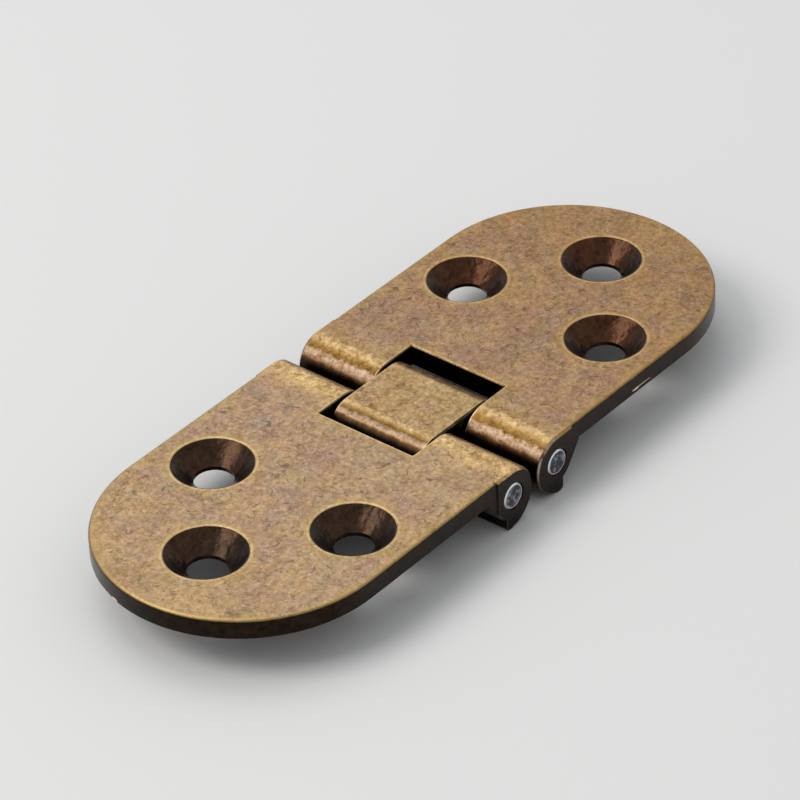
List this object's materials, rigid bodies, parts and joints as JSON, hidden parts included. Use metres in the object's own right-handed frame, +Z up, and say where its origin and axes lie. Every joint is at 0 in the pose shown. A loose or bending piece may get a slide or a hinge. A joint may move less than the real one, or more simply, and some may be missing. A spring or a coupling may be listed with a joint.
{
  "type": "flip top hinge",
  "caption": "Flip top hinge with round-ended countersunk leaves on a loose centre link, so that one leaf folds flat over the other.",
  "frame": {"origin": "under the middle of the hinge, level with the toes of the knuckles that it stands on", "axes": "+X along the hinge from the near leaf to the far leaf, +Y across it along the pins, +Z up out of the countersunk faces"},
  "size_m": [0.079, 0.0304, 0.0067],
  "materials": {
    "leaf_plating": "antique brass plating, mottled and worn lighter along the edges",
    "link_plating": "antique brass plating, mottled and worn lighter along the edges",
    "pin_steel": "bare turned steel"
  },
  "bodies": {
    "near_side": {"near_leaf": "leaf_plating", "near_pin": "pin_steel"},
    "link": {"centre_link": "link_plating"},
    "far_side": {"far_leaf": "leaf_plating", "far_pin": "pin_steel"}
  },
  "joints": [
    {"name": "near_fold", "type": "hinge", "parent": "near_side", "child": "link", "pos_m": [-0.0034, 0, 0.00375], "axis": [0, -1, 0], "range_deg": [0, 90]},
    {"name": "far_fold", "type": "hinge", "parent": "link", "child": "far_side", "pos_m": [0.0034, 0, 0.00375], "axis": [0, -1, 0], "range_deg": [0, 90]}
  ]
}
